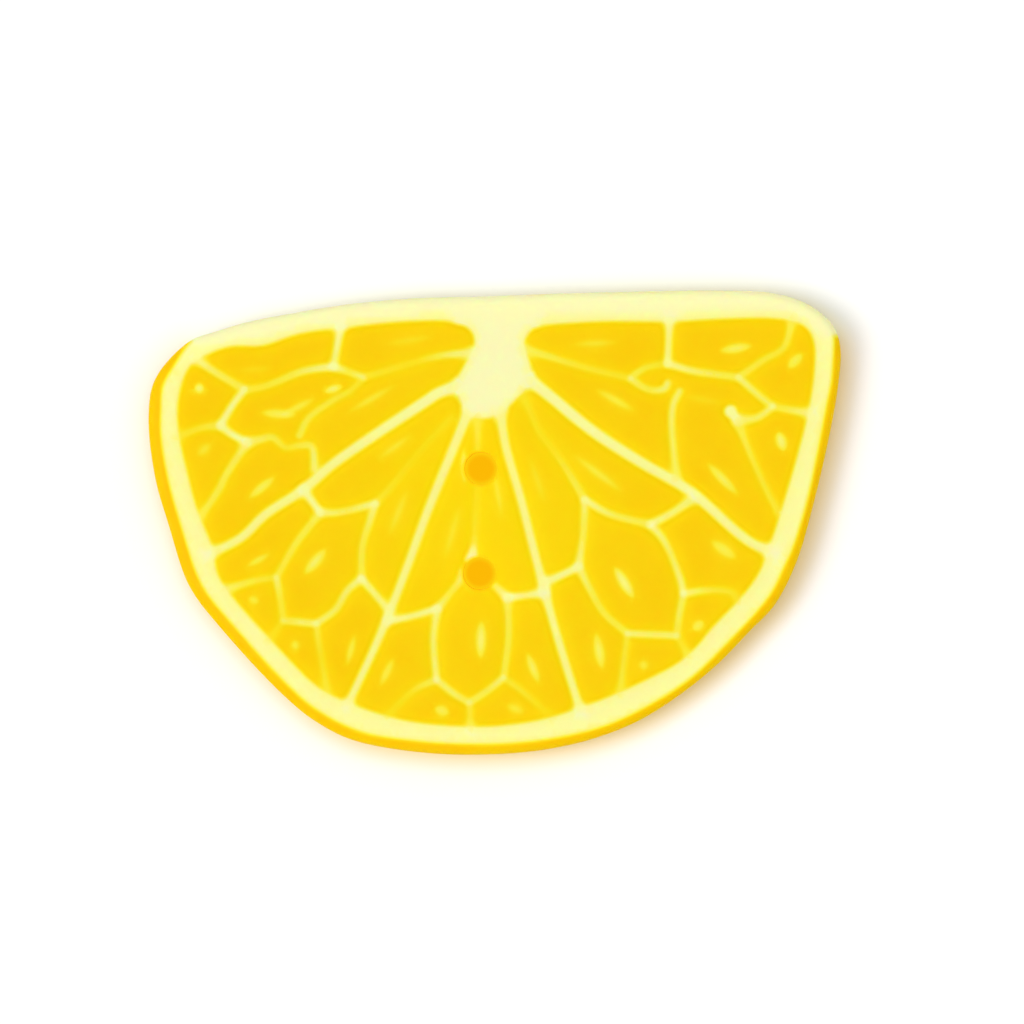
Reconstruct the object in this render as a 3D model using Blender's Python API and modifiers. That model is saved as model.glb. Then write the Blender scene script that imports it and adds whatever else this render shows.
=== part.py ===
"""Two-hole sewing button of baked modelling clay, in the form of half an orange slice.

One solid piece.  It lies on its flat back with the face up.  The origin is at the middle of
the back, +X runs along the straight cut edge, +Y points towards that edge and +Z out of the
face.  The face shows pulp cells that stand a little proud of the pith round them.
"""

import functools
import math

import bmesh
import bpy
import numpy as np
from mathutils import Matrix

# Driving dimensions, in metres
WIDTH = 0.032                # along the cut edge, about 1 1/4 inch
THICKNESS = 0.003            # from the back to the tops of the pulp cells
CELL_RELIEF = 0.0001         # how far the pulp cells stand above the pith
EDGE_ROUND = 0.00045         # radius of the outer edge, front and back
RIND_WIDTH = 0.00055         # band of rind along the curved side
HOLE_DIAMETER = 0.0015       # sewing holes
HOLE_CHAMFER = 0.0001        # eased rim of the sewing holes
CORNER_WEB = 0.0001          # how softly pith fills the corners between membranes
MILLIMETRE = 0.001           # the widths of the membranes are given in this

# Fineness of the faceted solid
OUTLINE_STEPS = 3            # straight runs between two points of the outline
PATH_STEPS = 4               # straight runs between two points of any other line
CELL_PITCH = 0.0001          # grid on which the pulp cells are found
CELL_TURN = math.radians(7)  # a point where a cell's edge turns by less is left out
CELL_ROOT = 0.0004           # how deep a cell reaches into the body that it is fused to
SMALLEST_CELL = 0.3e-6       # square metres; a smaller scrap of pulp is dropped
HOLE_SIDES = 20

# The face is drawn in pixels of the 1024 x 1024 photograph, x to the right and y downwards.
# The cut edge runs from the left shoulder to the right one, and the rind's side runs back.
CUT_EDGE_PX = [
    (190, 340), (215, 331), (245, 322), (290, 313), (345, 304), (410, 298), (480, 296),
    (560, 293), (640, 291), (720, 290), (775, 293), (810, 305), (832, 324),
]
RIND_SIDE_PX = [
    (840, 346), (838, 384), (828, 440), (812, 508), (796, 562), (774, 605), (750, 630),
    (717, 664), (680, 694), (639, 720), (594, 738), (546, 749), (490, 754), (420, 752),
    (350, 739), (312, 719), (294, 705), (259, 671), (212, 618), (197, 599), (185, 578),
    (167, 521), (156, 484), (149, 440), (148, 412), (151, 388), (161, 368),
]

# Where the pulp ends and the border of pith begins, clockwise
PULP_EDGE_PX = [
    (205, 355), (230, 346), (262, 345), (300, 333), (345, 327), (390, 322), (437, 320),
    (480, 322), (539, 324), (600, 321), (670, 321), (730, 318), (775, 318), (799, 323),
    (809, 331), (814, 345), (814, 368), (809, 405), (796, 458), (780, 512), (765, 558),
    (758, 573), (744, 593), (711, 628), (696, 646), (678, 662), (636, 684), (591, 703),
    (545, 718), (510, 724), (475, 726), (410, 721), (360, 707), (334, 696), (313, 683),
    (271, 640), (231, 595), (217, 573), (211, 545), (196, 507), (187, 473), (179, 437),
    (177, 408), (181, 384), (190, 365),
]

# The patch of pith where the segments meet, at the middle of the cut edge
CORE_PX = [
    (455, 318), (466, 326), (472, 334), (473, 344), (469, 354), (461, 367), (456, 380),
    (457, 400), (466, 412), (484, 418), (503, 412), (519, 397), (530, 384), (533, 376),
    (530, 362), (526, 352), (524, 342), (528, 332), (540, 318), (530, 300), (470, 300),
]

HOLES_PX = [(480.5, 468), (479, 573)]

# Corners where three membranes meet, lettered by segment from the left to the right
CORNERS_PX = {
    "a1": (244, 389), "a2": (220, 425), "a3": (247, 442), "a4": (333, 366), "a5": (363, 377),
    "b1": (303, 489), "b2": (320, 512), "b3": (375, 503), "b4": (361, 578), "b5": (276, 577),
    "b6": (283, 620), "b7": (316, 623),
    "c1": (437, 608), "c2": (436, 679), "c3": (469, 702), "c4": (503, 677), "c5": (507, 597),
    "d1": (584, 499), "d2": (650, 524), "d3": (578, 566), "d4": (627, 633), "d5": (676, 635),
    "d6": (683, 593),
    "e1": (630, 378), "e2": (667, 363), "e3": (738, 377), "e4": (772, 406), "e5": (737, 420),
}

# Each membrane: its width in mm at its start and end, then the corners and bends it runs through
MEMBRANES = [
    # the four walls between the segments, from the core out to the border
    (0.48, 0.37, (455, 386), (425, 401), (375, 434), (332, 465), "b1", (265, 514), (208, 554)),
    (0.42, 0.31, (469, 408), (452, 450), (427, 511), (405, 571), (379, 636), (348, 703)),
    (0.36, 0.32, (500, 408), (521, 501), (536, 560), (558, 640), (580, 710)),
    (0.50, 0.39, (530, 380), (550, 396), (590, 429), (639, 461), (690, 491), (772, 552)),
    # segment a, upper left
    (0.20, 0.20, (196, 360), (217, 373), "a1"),
    (0.20, 0.20, "a1", (275, 382), "a4"),
    (0.26, 0.26, "a1", "a2"),
    (0.18, 0.18, "a2", (202, 427), (176, 437)),
    (0.26, 0.26, "a2", "a3"),
    (0.20, 0.20, "a3", (226, 474), (201, 515)),
    (0.18, 0.18, "a3", (272, 437), (285, 447), (309, 446), (316, 470)),
    (0.26, 0.26, "a4", (341, 322)),
    (0.26, 0.26, "a4", "a5"),
    (0.18, 0.18, "a5", (437, 357), (474, 352)),
    (0.16, 0.14, "a5", (334, 399), (308, 418), (299, 436)),
    # segment b, left
    (0.26, 0.26, "b1", "b2"),
    (0.22, 0.22, "b2", (347, 512), "b3"),
    (0.22, 0.12, "b3", (420, 450), (450, 418)),
    (0.20, 0.20, "b3", (363, 543), "b4"),
    (0.20, 0.20, "b2", (295, 544), "b5"),
    (0.17, 0.17, "b5", (255, 580), (225, 589)),
    (0.20, 0.20, "b5", "b6"),
    (0.22, 0.22, "b6", "b7"),
    (0.14, 0.14, "b6", (267, 644)),
    (0.15, 0.15, "b7", (327, 692)),
    (0.22, 0.22, "b4", (335, 609), "b7"),
    (0.22, 0.22, "b4", (369, 587), (387, 608)),
    # segment c, the middle one
    (0.26, 0.26, (386, 620), (410, 616), "c1"),
    (0.20, 0.20, "c1", (450, 592), (462, 572)),
    (0.24, 0.24, "c1", (433, 639), "c2"),
    (0.15, 0.15, "c2", (415, 690), (386, 716)),
    (0.18, 0.18, "c2", "c3"),
    (0.16, 0.16, "c3", (470, 730)),
    (0.18, 0.18, "c3", "c4"),
    (0.20, 0.20, "c4", (508, 636), "c5"),
    (0.20, 0.20, "c5", (489, 580)),
    (0.26, 0.26, "c5", (544, 592)),
    (0.14, 0.14, "c4", (552, 717)),
    # segment d, right
    (0.14, 0.22, (521, 392), (530, 412), (539, 432), (566, 469), "d1"),
    (0.27, 0.27, "d1", (608, 513), "d2"),
    (0.31, 0.31, "d2", (672, 512), (694, 497)),
    (0.24, 0.24, "d1", (583, 530), "d3"),
    (0.30, 0.30, "d3", (564, 573), (546, 581)),
    (0.24, 0.24, "d2", (671, 553), "d6"),
    (0.22, 0.22, "d3", (604, 613), "d4"),
    (0.20, 0.20, "d4", "d5"),
    (0.20, 0.20, "d5", "d6"),
    (0.15, 0.15, "d4", (619, 694)),
    (0.14, 0.14, "d5", (689, 657)),
    (0.15, 0.15, "d6", (702, 589), (722, 588), (732, 591), (738, 600)),
    # segment e, upper right
    (0.18, 0.18, (524, 349), (545, 355), (600, 371), "e1"),
    (0.18, 0.18, "e1", (637, 371), (646, 366), "e2"),
    (0.18, 0.26, "e1", (643, 387), (654, 390), (664, 388), (667, 383)),
    (0.30, 0.30, "e2", (669, 318)),
    (0.24, 0.24, "e2", (715, 374), "e3"),
    (0.18, 0.18, "e3", (784, 347), (792, 318)),
    (0.24, 0.24, "e3", (757, 394), "e4"),
    (0.20, 0.20, "e4", (812, 412)),
    (0.22, 0.22, "e4", (757, 417), "e5"),
    (0.44, 0.44, "e5", (730, 409)),
    (0.15, 0.15, "e5", (752, 456), (767, 490), (778, 511)),
    (0.22, 0.26, (679, 391), (673, 403), (671, 420), (676, 476)),
]


def clear_scene():
    """Remove what is in the scene, such as the default cube."""
    for item in list(bpy.data.objects):
        bpy.data.objects.remove(item, do_unlink=True)


def collection(name):
    """A new collection in the scene."""
    made = bpy.data.collections.new(name)
    bpy.context.scene.collection.children.link(made)
    return made


def clay(name, colour, roughness):
    """Baked clay of one colour."""
    material = bpy.data.materials.new(name)
    material.use_nodes = True
    shader = material.node_tree.nodes["Principled BSDF"]
    shader.inputs["Base Color"].default_value = (*colour, 1.0)
    shader.inputs["Roughness"].default_value = roughness
    shader.inputs["Metallic"].default_value = 0.0
    return material


def smooth_path(points, closed=False, steps=PATH_STEPS):
    """A smooth curve through all the points (a centripetal Catmull-Rom curve)."""
    points = np.array(points, dtype=float)
    if closed:
        points = np.vstack((points[-1], points, points[:2]))
    else:
        points = np.vstack((2 * points[0] - points[1], points, 2 * points[-1] - points[-2]))
    runs = np.diff(points, axis=0)
    times = np.sqrt(np.hypot(runs[:, 0], runs[:, 1]))[:, None]
    speeds = runs / times
    tangents = (speeds[:-1] * times[1:] + speeds[1:] * times[:-1]) / (times[:-1] + times[1:])
    start, end = points[1:-2], points[2:-1]
    leave, arrive = tangents[:-1] * times[1:-1], tangents[1:] * times[1:-1]
    t = np.linspace(0.0, 1.0, steps, endpoint=False)[:, None, None]
    path = (
        (2 * t**3 - 3 * t**2 + 1) * start
        + (t**3 - 2 * t**2 + t) * leave
        + (3 * t**2 - 2 * t**3) * end
        + (t**3 - t**2) * arrive
    )
    path = path.transpose(1, 0, 2).reshape(-1, 2)
    return path if closed else np.vstack((path, points[-2]))


@functools.cache
def drawing_frame():
    """The middle of the drawn outline, and the size of a pixel that makes it WIDTH wide."""
    outline = smooth_path(CUT_EDGE_PX + RIND_SIDE_PX, closed=True, steps=OUTLINE_STEPS)
    low = outline.min(axis=0)
    high = outline.max(axis=0)
    return (low + high) / 2, WIDTH / (high[0] - low[0])


def place(points_px):
    """Drawn points as x and y in metres, with the origin at the middle of the button."""
    middle, pixel = drawing_frame()
    return (np.array(points_px, dtype=float) - middle) * (pixel, -pixel)


def distance_to_run(points, start, end):
    """Distance of each point to a straight run, and its nearest place as a share of the run."""
    run = end - start
    share = np.clip((points - start) @ run / (run @ run), 0.0, 1.0)
    gap = points - start - share[:, None] * run
    return np.hypot(gap[:, 0], gap[:, 1]), share


def depth_in_loop(points, loop):
    """How far inside a closed loop each point lies; negative outside it."""
    nearest = np.full(len(points), np.inf)
    inside = np.zeros(len(points), dtype=bool)
    for start, end in zip(loop, np.roll(loop, -1, axis=0)):
        nearest = np.minimum(nearest, distance_to_run(points, start, end)[0])
        if start[1] != end[1]:
            slant = (end[0] - start[0]) / (end[1] - start[1])
            to_the_left = points[:, 0] < start[0] + (points[:, 1] - start[1]) * slant
            inside ^= to_the_left & ((start[1] > points[:, 1]) != (end[1] > points[:, 1]))
    return np.where(inside, nearest, -nearest)


def depth_beside_membrane(points, path, first_width, last_width):
    """How far outside a tapering membrane each point lies; negative within it."""
    lengths = np.hypot(*np.diff(path, axis=0).T)
    shares = np.concatenate(([0.0], np.cumsum(lengths))) / lengths.sum()
    half_widths = (first_width + (last_width - first_width) * shares) / 2
    depth = np.full(len(points), np.inf)
    for i in range(len(path) - 1):
        gap, share = distance_to_run(points, path[i], path[i + 1])
        half_width = half_widths[i] + share * (half_widths[i + 1] - half_widths[i])
        depth = np.minimum(depth, gap - half_width)
    return depth


def pulp_depth(points):
    """How far inside a pulp cell each point lies; negative on pith.

    The nearest border counts.  A second border that is almost as near also counts a little,
    which fills each corner with a web of pith, as in the real fruit.
    """
    borders = [
        depth_in_loop(points, place(smooth_path(PULP_EDGE_PX, closed=True))),
        -depth_in_loop(points, place(smooth_path(CORE_PX, closed=True))),
    ]
    for first_width, last_width, *stops in MEMBRANES:
        path = place(smooth_path([CORNERS_PX.get(stop, stop) for stop in stops]))
        widths = (first_width * MILLIMETRE, last_width * MILLIMETRE)
        borders.append(depth_beside_membrane(points, path, *widths))
    borders = np.array(borders)
    nearest = borders.min(axis=0)
    return nearest - CORNER_WEB * np.log(np.exp((nearest - borders) / CORNER_WEB).sum(axis=0))


def make_slab(name, clays, target):
    """The body up to the level of the pith: the outline, extruded, with its edges rounded."""
    height = THICKNESS - CELL_RELIEF
    curve = bpy.data.curves.new(name, "CURVE")
    curve.dimensions = "2D"
    curve.fill_mode = "BOTH"
    curve.extrude = height / 2 - EDGE_ROUND
    curve.bevel_depth = EDGE_ROUND
    curve.bevel_resolution = 1
    curve.offset = -EDGE_ROUND
    outline = place(smooth_path(CUT_EDGE_PX + RIND_SIDE_PX, closed=True, steps=OUTLINE_STEPS))
    spline = curve.splines.new("POLY")
    spline.points.add(len(outline) - 1)
    for point, (x, y) in zip(spline.points, outline):
        point.co = (x, y, 0.0, 1.0)
    spline.use_cyclic_u = True
    drawn = bpy.data.objects.new(name + "_outline", curve)
    drawn.location.z = height / 2
    target.objects.link(drawn)
    bpy.context.view_layer.update()

    evaluated = drawn.evaluated_get(bpy.context.evaluated_depsgraph_get())
    mesh = bpy.data.meshes.new_from_object(evaluated)
    mesh.transform(drawn.matrix_world)
    bpy.data.objects.remove(drawn, do_unlink=True)
    bm = bmesh.new()
    bm.from_mesh(mesh)
    bmesh.ops.remove_doubles(bm, verts=bm.verts, dist=1e-6)
    bmesh.ops.recalc_face_normals(bm, faces=bm.faces)
    rind_line = place(smooth_path([CUT_EDGE_PX[-1]] + RIND_SIDE_PX + [CUT_EDGE_PX[0]]))
    middles = np.array([face.calc_center_median().xy for face in bm.faces])
    beside_rind = depth_beside_membrane(middles, rind_line, 2 * RIND_WIDTH, 2 * RIND_WIDTH)
    for face, gap in zip(bm.faces, beside_rind):
        is_side = abs(face.normal.z) < math.cos(math.radians(15))
        face.material_index = RIND if is_side and gap < 0.0 else PITH
    bm.to_mesh(mesh)
    bm.free()
    return add_object(name, mesh, clays, target)


def make_pulp_cells(name, clays, target):
    """Every pulp cell as a flat-topped plug, its outline found where the pulp depth is zero."""
    outline = place(CUT_EDGE_PX + RIND_SIDE_PX)
    half_x, half_y = np.abs(outline).max(axis=0)
    bm = bmesh.new()
    bmesh.ops.create_grid(
        bm,
        x_segments=round(2 * half_x / CELL_PITCH),
        y_segments=round(2 * half_y / CELL_PITCH),
        size=1.0,
        matrix=Matrix.Diagonal((half_x, half_y, 1.0, 1.0)),
    )
    depths = pulp_depth(np.array([vert.co.xy for vert in bm.verts]))
    for vert, depth in zip(bm.verts, depths):
        vert.co.z = depth
    # The grid is now a relief of the pulp depth, and slicing it at zero leaves the cells
    bmesh.ops.bisect_plane(
        bm,
        geom=bm.verts[:] + bm.edges[:] + bm.faces[:],
        dist=1e-9,
        plane_co=(0.0, 0.0, 0.0),
        plane_no=(0.0, 0.0, 1.0),
        clear_inner=True,
    )
    for vert in bm.verts:
        vert.co.z = THICKNESS - CELL_RELIEF - CELL_ROOT
    bmesh.ops.remove_doubles(bm, verts=bm.verts, dist=CELL_PITCH / 20)
    bmesh.ops.dissolve_limit(bm, angle_limit=CELL_TURN, verts=bm.verts, edges=bm.edges)
    scraps = [face for face in bm.faces if face.calc_area() < SMALLEST_CELL]
    bmesh.ops.delete(bm, geom=scraps, context="FACES")
    extruded = bmesh.ops.extrude_face_region(bm, geom=bm.faces[:])
    lifted = [item for item in extruded["geom"] if isinstance(item, bmesh.types.BMVert)]
    bmesh.ops.translate(bm, verts=lifted, vec=(0.0, 0.0, CELL_ROOT + CELL_RELIEF))
    bmesh.ops.recalc_face_normals(bm, faces=bm.faces)
    for face in bm.faces:
        face.material_index = PULP
    mesh = bpy.data.meshes.new(name)
    bm.to_mesh(mesh)
    bm.free()
    return add_object(name, mesh, clays, target)


def make_hole_cutter(name, centre, target):
    """A turned plug for one sewing hole, flared at both faces to ease the rims."""
    radius = HOLE_DIAMETER / 2
    flared = radius + 2 * HOLE_CHAMFER
    profile = [
        (0.0, THICKNESS + HOLE_CHAMFER),
        (flared, THICKNESS + HOLE_CHAMFER),
        (radius, THICKNESS - HOLE_CHAMFER),
        (radius, HOLE_CHAMFER),
        (flared, -HOLE_CHAMFER),
        (0.0, -HOLE_CHAMFER),
    ]
    mesh = bpy.data.meshes.new(name)
    points = [(x, 0.0, z) for x, z in profile]
    mesh.from_pydata(points, [(i, i + 1) for i in range(len(points) - 1)], [])
    cutter = bpy.data.objects.new(name, mesh)
    cutter.location = (*centre, 0.0)
    cutter.hide_render = True
    cutter.display_type = "WIRE"
    target.objects.link(cutter)
    turned = cutter.modifiers.new("turned", "SCREW")
    turned.axis = "Z"
    turned.steps = HOLE_SIDES
    turned.render_steps = HOLE_SIDES
    turned.use_merge_vertices = True
    turned.merge_threshold = 1e-6
    return cutter


def add_object(name, mesh, clays, target):
    """An object for a mesh, with a slot for each clay."""
    mesh.materials.clear()
    for material in clays:
        mesh.materials.append(material)
    made = bpy.data.objects.new(name, mesh)
    target.objects.link(made)
    return made


def add_boolean(piece, operation, others):
    """Join a piece with, or cut it by, every object of a collection."""
    boolean = piece.modifiers.new(operation.lower(), "BOOLEAN")
    boolean.operation = operation
    boolean.operand_type = "COLLECTION"
    boolean.collection = others
    boolean.solver = "EXACT"


def apply_modifiers(piece):
    """Replace a piece's mesh by the one that its modifiers give."""
    bpy.context.view_layer.update()
    evaluated = piece.evaluated_get(bpy.context.evaluated_depsgraph_get())
    mesh = bpy.data.meshes.new_from_object(evaluated)
    piece.modifiers.clear()
    piece.data = mesh


# Slots of the three clays on the button's mesh
PITH, PULP, RIND = range(3)


def main():
    clear_scene()
    button_parts = collection("orange_slice_button_parts")
    cells_to_fuse = collection("pulp_cells_to_fuse")
    cutters = collection("cutters")
    clays = [
        clay("pith_clay", (0.95, 0.92, 0.36), 0.5),
        clay("pulp_clay", (0.95, 0.62, 0.01), 0.45),
        clay("rind_clay", (0.92, 0.55, 0.01), 0.45),
    ]

    button = make_slab("orange_slice_button", clays, button_parts)
    make_pulp_cells("pulp_cells", clays, cells_to_fuse)
    add_boolean(button, "UNION", cells_to_fuse)
    apply_modifiers(button)
    for cell in list(cells_to_fuse.objects):
        bpy.data.objects.remove(cell, do_unlink=True)

    for number, centre in enumerate(place(HOLES_PX), start=1):
        make_hole_cutter(f"sewing_hole_{number}_cutter", centre, cutters)
    add_boolean(button, "DIFFERENCE", cutters)


main()
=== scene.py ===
"""A two-hole sewing button of baked polymer clay, shaped as half an orange slice.

The real one is cut from a clay cane: orange pulp, pale pith and golden rind are pressed
together into a long bar, the bar is sliced, and the slice is baked and sanded.  So the
pattern runs through the whole thickness, and its colours bleed a little where they meet.
The button is one closed mesh.  Its face is drawn here in pixels of the 1024 x 1024
photograph, worked on in millimetres and made in metres.
"""

import math

import bmesh
import bpy
import numpy as np
from mathutils import Matrix, Vector, geometry


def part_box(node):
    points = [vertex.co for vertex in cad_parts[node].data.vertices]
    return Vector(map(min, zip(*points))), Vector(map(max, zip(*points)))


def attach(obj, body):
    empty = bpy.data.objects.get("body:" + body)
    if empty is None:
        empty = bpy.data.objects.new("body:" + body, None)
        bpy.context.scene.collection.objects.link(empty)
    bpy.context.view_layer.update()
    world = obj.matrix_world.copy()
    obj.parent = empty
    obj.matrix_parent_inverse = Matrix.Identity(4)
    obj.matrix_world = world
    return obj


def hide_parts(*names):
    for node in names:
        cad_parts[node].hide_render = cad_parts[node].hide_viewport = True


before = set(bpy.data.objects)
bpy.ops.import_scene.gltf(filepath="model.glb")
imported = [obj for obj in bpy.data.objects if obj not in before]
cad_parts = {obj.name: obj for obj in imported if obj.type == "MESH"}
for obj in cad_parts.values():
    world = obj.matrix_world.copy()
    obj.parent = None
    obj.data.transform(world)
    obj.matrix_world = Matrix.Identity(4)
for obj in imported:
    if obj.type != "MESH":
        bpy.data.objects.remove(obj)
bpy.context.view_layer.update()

NODE = "orange_slice_button"
MM = 0.001                       # metres in a millimetre
PHOTO_SIDE = 1024                # pixels along each side of the photograph

# Sizes in millimetres; the overall ones are the CAD node's own
low_corner, high_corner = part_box(NODE)
WIDTH = (high_corner.x - low_corner.x) / MM
THICKNESS = (high_corner.z - low_corner.z) / MM
MIDDLE = np.array((low_corner.xy + high_corner.xy) / 2) / MM
RELIEF = 0.08                    # from the pith up to the tops of the pulp cells
CROWN = 0.02                     # the part of the relief that is the swell of each cell
SWELL = 0.5                      # how far in from its edge a cell keeps swelling
CELL_EASE = 0.3                  # width of the slope between a cell's top and the pith
EDGE_ROUND = 0.45                # radius of the outer edge, front and back
HOLE_RADIUS = 0.75
RIM_ROUND = 0.03                 # eased rim of the sewing holes
PAINTED_RIM_LIGHT_WIDTH = 0.16                  # width of clay round a hole that is painted with its orange light
CORNER_WEB = 0.20                # how softly pith fills the corners between borders
CORNER_EASE = 0.05               # and how softly their edges meet in any corner
BLEED = 0.17                     # half the width over which two clays blend
THINNEST = 0.32                  # a finer seam of pith smears to this width in sanding
YELLOW_EDGE = 0.25               # how far in from the pith a cell is yellower
YELLOW_MIDDLE = 5.5              # and how far out from the middle of the two holes all are
PAINTED_LIGHT_SHIFT = (0.35, -0.35)       # how far the painted light from the clay is shifted, right and down
PAINTED_LIGHT_REACH = 0.85                # and how softly it ends on the card

# Shares and powers of the pattern
SHADE_PLACES = (0.15, 0.5, 0.85) # where along a membrane its three shades of pith lie
MEETING = 2.6                    # a higher power makes borders add less where they meet
WEB_FADE = 6                     # and one of paleness leaves less web beside faint borders
LEAST_GROOVE = 0.35              # share of the full groove along even the faintest membrane
YELLOWING = 0.6                  # share of its gold that the pulp loses where it is yellower
STREAK_TIP = 0.1                 # a streak's tips keep the square root of this of its width
STREAK_FADE = 0.75               # a higher power makes a streak fade sooner from its middle
FAINTEST_STREAK = 0.03           # a fainter part of one needs no fine triangles
PAINTED_RIM_TINT = 0.7                 # share of its paleness that pith loses under the painted orange light on a rim
PAINTED_RIM_LIGHT_STRENGTH = 0.15         # painted light that the rims and walls of the holes give off, though they are no lamp

# Fineness of the mesh, in millimetres
GRID = 0.06                      # grid on which the cells' edges are found
LINE_STEP = 0.1                  # between the points along those edges, on the face
BACK_STEP = 0.14                 # and on the back
OUTLINE_STEP = 0.15              # between the points along the outline
OPEN_FILL = 0.36                 # between the points that fill plain stretches of clay
OPEN_GAP = 0.12                  # and from the first of them to the level lines
FINE_FILL = 0.11                 # between the points under a soft pale streak
FINE_GAP = 0.05                  # and from the first of them to the level lines
EDGE_SUPPORT = EDGE_ROUND + 0.06 # a ring of corners keeps the flat beside the edge flat
RIM_SUPPORT = PAINTED_RIM_LIGHT_WIDTH           # and another does so beside each rim
CLEARANCE = 0.05                 # the pattern's corners keep this far from those rings
SAME_PLACE = 1e-6                # corners of a sheet as near as this are one
WELD = 2e-4                      # and so are corners of two joined parts as near as this
ROUND_STEPS = 6                  # rings round a rounded edge
WALL_STEPS = 5                   # rings up a side wall
HOLE_SIDES = 56
# Pulp depths whose level lines the face's triangles follow, and the same for the back
FACE_LEVELS = (-0.10, -0.04, 0.0, 0.05, 0.10, 0.15, 0.20, 0.27)
BACK_LEVELS = (-0.05, 0.05, 0.16)
RIND_LEVELS = (-0.09, 0.0, 0.09)

# The stage under the button, in millimetres: how far each layer lies below its back, and sizes
FLOOR_DROP = 0.03
CARD_DROP = 0.02
PATCH_DROP = 0.01
FLOOR_SIDE = 3000
CARD_SIDES = (36, 26)            # the card round the button, with painted light from the clay on it
CARD_SQUARE = 0.2                # and the squares on which its painted light is worked out
PATCH_RADIUS = 1.2 * HOLE_RADIUS
PATCH_SHADE = (0.48, 0.82)       # between these radii the painted light under a hole turns yellower

# The cut edge runs from the left shoulder to the right one, and the rind's side runs back
CUT_EDGE_PX = [
    (190, 340), (215, 331), (245, 322), (290, 313), (345, 304), (410, 298), (480, 296),
    (560, 293), (640, 291), (720, 290), (775, 293), (810, 305), (832, 324),
]
RIND_SIDE_PX = [
    (840, 346), (838, 384), (828, 440), (812, 508), (796, 562), (774, 605), (750, 630),
    (717, 664), (680, 694), (639, 720), (594, 738), (546, 749), (490, 754), (420, 752),
    (350, 739), (312, 719), (294, 705), (259, 671), (212, 618), (197, 599), (185, 578),
    (167, 521), (156, 484), (149, 440), (148, 412), (151, 388), (161, 368),
]

# The inner edge of the rind, from its left tip to its right one, and on round outside it
RIND_EDGE_PX = [
    (191, 341), (186, 347), (174, 366), (163, 386), (161, 410), (161, 434), (169, 482),
    (182, 528), (197, 574), (208, 594), (239, 631), (271, 667), (305, 700), (325, 714),
    (346, 725), (369, 733), (416, 740), (464, 743), (512, 742), (559, 736), (606, 724),
    (650, 703), (690, 677), (725, 643), (758, 608), (772, 589), (782, 568), (792, 546),
    (806, 500), (816, 453), (825, 406), (830, 382), (832, 358), (833, 336),
]
RIND_OUTSIDE_PX = [(880, 326), (880, 800), (110, 800), (110, 330)]

# Where the pulp ends and the border of pith begins, clockwise
PULP_EDGE_PX = [
    (205, 355), (230, 346), (262, 345), (300, 333), (345, 327), (390, 322), (437, 320),
    (480, 322), (539, 324), (600, 321), (670, 321), (730, 318), (775, 318), (799, 323),
    (809, 331), (814, 345), (814, 368), (809, 405), (796, 458), (780, 512), (765, 558),
    (758, 573), (744, 593), (711, 628), (696, 646), (678, 662), (636, 684), (591, 703),
    (545, 718), (510, 724), (475, 726), (410, 721), (360, 707), (334, 696), (313, 683),
    (271, 640), (231, 595), (217, 573), (211, 545), (196, 507), (187, 473), (179, 437),
    (177, 408), (181, 384), (190, 365),
]

# The patch of pith where the segments meet, at the middle of the cut edge
CORE_PX = [
    (456, 318), (467, 326), (473, 334), (474, 344), (470, 354), (463, 367), (458, 380),
    (460, 400), (468, 411), (484, 418), (501, 411), (517, 397), (527, 384), (530, 375),
    (529, 362), (526, 352), (524, 342), (528, 332), (539, 318), (530, 300), (470, 300),
]

HOLES_PX = [(480.5, 468), (479, 573)]

# Corners where three membranes meet, lettered by segment from the left to the right
CORNERS_PX = {
    "a1": (244, 389), "a2": (220, 425), "a3": (247, 442), "a4": (333, 366), "a5": (363, 377),
    "b1": (303, 489), "b2": (320, 512), "b3": (375, 503), "b4": (361, 578), "b5": (276, 577),
    "b6": (283, 620), "b7": (316, 623),
    "c1": (437, 608), "c2": (436, 679), "c3": (469, 702), "c4": (503, 677), "c5": (507, 597),
    "d1": (584, 499), "d2": (650, 524), "d3": (578, 566), "d4": (627, 633), "d5": (676, 635),
    "d6": (683, 593),
    "e1": (630, 378), "e2": (667, 363), "e3": (738, 377), "e4": (772, 406), "e5": (737, 420),
}

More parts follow.
